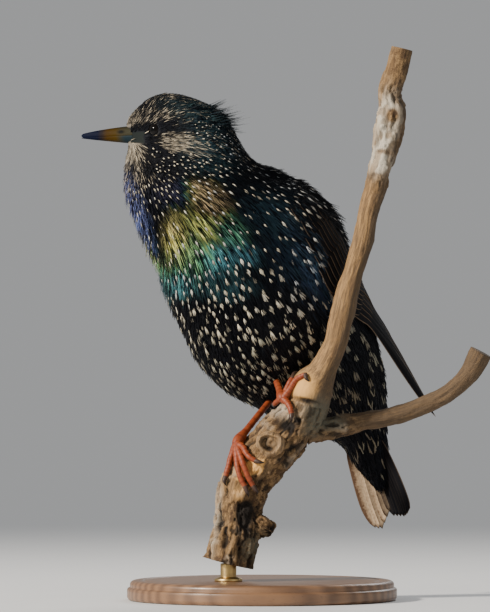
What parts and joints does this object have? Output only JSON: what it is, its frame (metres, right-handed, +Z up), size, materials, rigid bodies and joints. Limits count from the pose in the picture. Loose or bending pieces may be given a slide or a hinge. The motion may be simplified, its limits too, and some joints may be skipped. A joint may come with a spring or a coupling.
{
  "type": "starling",
  "caption": "Life-size still model of a common starling in spotted fresh plumage, perched on a short cut forked branch that a rod holds above a flat round display base",
  "frame": {"origin": "the centre of the underside of the display base", "axes": "+Z up, the bird's bill points to -X and its breast is turned toward -Y"},
  "size_m": [0.1637, 0.1108, 0.2209],
  "materials": {
    "plumage": "glossy black body feathers with green, blue and violet sheen and pale cream tips",
    "flight_feathers": "brown-black wing and tail feathers with narrow buff edges",
    "bill": "smooth horn, blue-grey at the base, ochre in the middle and dark at the tip",
    "eye": "wet dark brown",
    "leg": "scaly orange-red skin",
    "claw": "smooth brown horn",
    "bark": "weathered tan and grey bark with lichen and pale sawn ends",
    "stand_wood": "dark turned wood with a satin polish",
    "stand_brass": "brushed brass rod"
  },
  "bodies": {
    "root": {"belly": "plumage", "bill_lower": "bill", "bill_upper": "bill", "breast": "plumage", "claw_left_1": "claw", "claw_left_2": "claw", "claw_left_3": "claw", "claw_left_4": "claw", "claw_right_1": "claw", "claw_right_2": "claw", "claw_right_3": "claw", "claw_right_4": "claw", "eye_left": "eye", "eye_right": "eye", "head": "plumage", "leg_left": "leg", "leg_right": "leg", "neck": "plumage", "perch_right_limb": "bark", "perch_stem": "bark", "perch_upper_limb": "bark", "stand_base": "stand_wood", "stand_rod": "stand_brass", "tail": "flight_feathers", "undertail_coverts": "plumage", "uppertail_coverts": "plumage", "vent": "plumage", "wing_left": "flight_feathers", "wing_right": "flight_feathers"}
  },
  "joints": []
}
